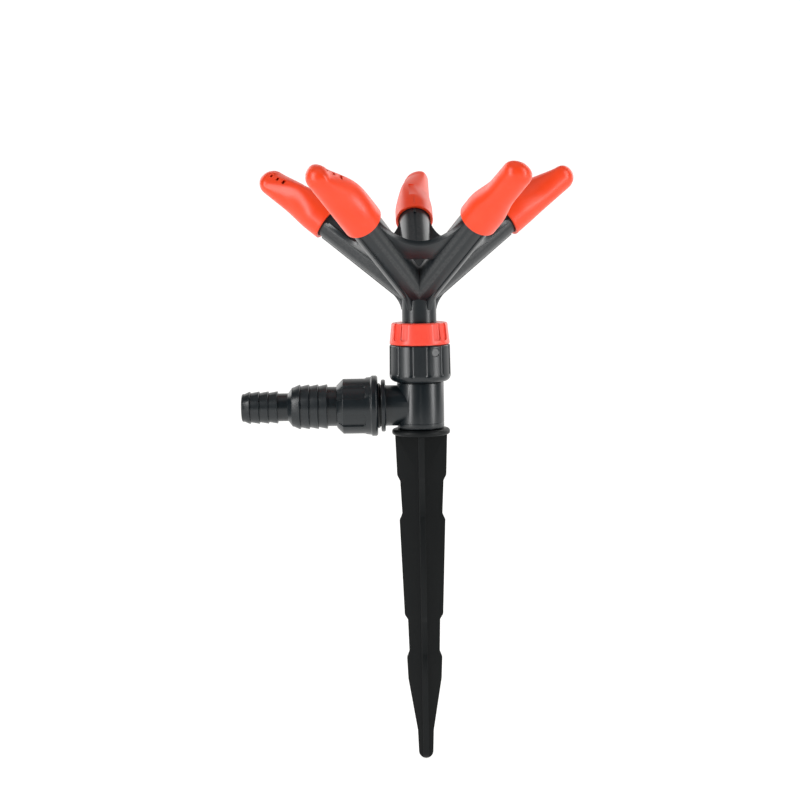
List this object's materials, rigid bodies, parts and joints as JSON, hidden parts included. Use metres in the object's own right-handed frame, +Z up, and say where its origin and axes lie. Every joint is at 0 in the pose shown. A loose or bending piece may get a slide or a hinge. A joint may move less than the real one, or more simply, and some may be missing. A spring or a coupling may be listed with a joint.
{
  "type": "garden sprinkler",
  "caption": "Rotating garden sprinkler on a cross-bladed ground stake, with slanted arms, turning spray caps, a swivel coupling and a barbed side inlet for a hose.",
  "frame": {"origin": "on the stake's axis at the ground line, the underside of the stake's flange", "axes": "+Z up along the stake and the head's spin axis; the hose inlet points to -X"},
  "size_m": [0.1512, 0.1362, 0.268],
  "materials": {
    "charcoal_plastic": "moulded polypropylene, satin, faint flow marks",
    "stake_plastic": "moulded polypropylene, matte",
    "orange_plastic": "moulded, semi-gloss orange red",
    "coral_plastic": "moulded, semi-gloss coral red",
    "rubber_seal": "black nitrile rubber",
    "acetal": "natural acetal, turned smooth"
  },
  "bodies": {
    "base": {"ground_stake": "stake_plastic", "stake_plug_seal": "rubber_seal", "inlet_tee": "charcoal_plastic", "inlet_washer": "rubber_seal", "hose_tail": "charcoal_plastic", "swivel_socket": "charcoal_plastic", "socket_washer": "rubber_seal", "lower_thrust_washer": "acetal", "upper_thrust_washer": "acetal"},
    "nut": {"union_nut": "charcoal_plastic"},
    "retainer": {"retaining_ring": "coral_plastic"},
    "rotor": {"sprinkler_head": "charcoal_plastic", "swivel_spindle": "acetal", "spindle_seal": "rubber_seal", "cap_seal_1": "rubber_seal", "cap_seal_2": "rubber_seal", "cap_seal_3": "rubber_seal", "cap_seal_4": "rubber_seal", "cap_seal_5": "rubber_seal"},
    "nozzle_1": {"nozzle_cap_1": "orange_plastic"},
    "nozzle_2": {"nozzle_cap_2": "orange_plastic"},
    "nozzle_3": {"nozzle_cap_3": "orange_plastic"},
    "nozzle_4": {"nozzle_cap_4": "orange_plastic"},
    "nozzle_5": {"nozzle_cap_5": "orange_plastic"}
  },
  "joints": [
    {"name": "head_spin", "type": "hinge", "parent": "base", "child": "rotor", "pos_m": [0, 0, 0.063], "axis": [0, 0, 1], "continuous": true},
    {"name": "retaining_ring_turn", "type": "hinge", "parent": "base", "child": "retainer", "pos_m": [0, 0, 0.045], "axis": [0, 0, 1], "range_deg": [0, 90]},
    {"name": "union_nut_turn", "type": "hinge", "parent": "base", "child": "nut", "pos_m": [-0.028, 0, 0.0131], "axis": [-1, 0, 0], "range_deg": [0, 90]},
    {"name": "nozzle_twist_1", "type": "hinge", "parent": "rotor", "child": "nozzle_1", "pos_m": [0, 0, 0.063], "axis": [0.7448, 0.2638, 0.6129], "range_deg": [-90, 90]},
    {"name": "nozzle_twist_2", "type": "hinge", "parent": "rotor", "child": "nozzle_2", "pos_m": [0, 0, 0.063], "axis": [-0.0207, 0.7899, 0.6129], "range_deg": [-90, 90]},
    {"name": "nozzle_twist_3", "type": "hinge", "parent": "rotor", "child": "nozzle_3", "pos_m": [0, 0, 0.063], "axis": [-0.7576, 0.2244, 0.6129], "range_deg": [-90, 90]},
    {"name": "nozzle_twist_4", "type": "hinge", "parent": "rotor", "child": "nozzle_4", "pos_m": [0, 0, 0.063], "axis": [-0.4475, -0.6512, 0.6129], "range_deg": [-90, 90]},
    {"name": "nozzle_twist_5", "type": "hinge", "parent": "rotor", "child": "nozzle_5", "pos_m": [0, 0, 0.063], "axis": [0.481, -0.6269, 0.6129], "range_deg": [-90, 90]}
  ]
}
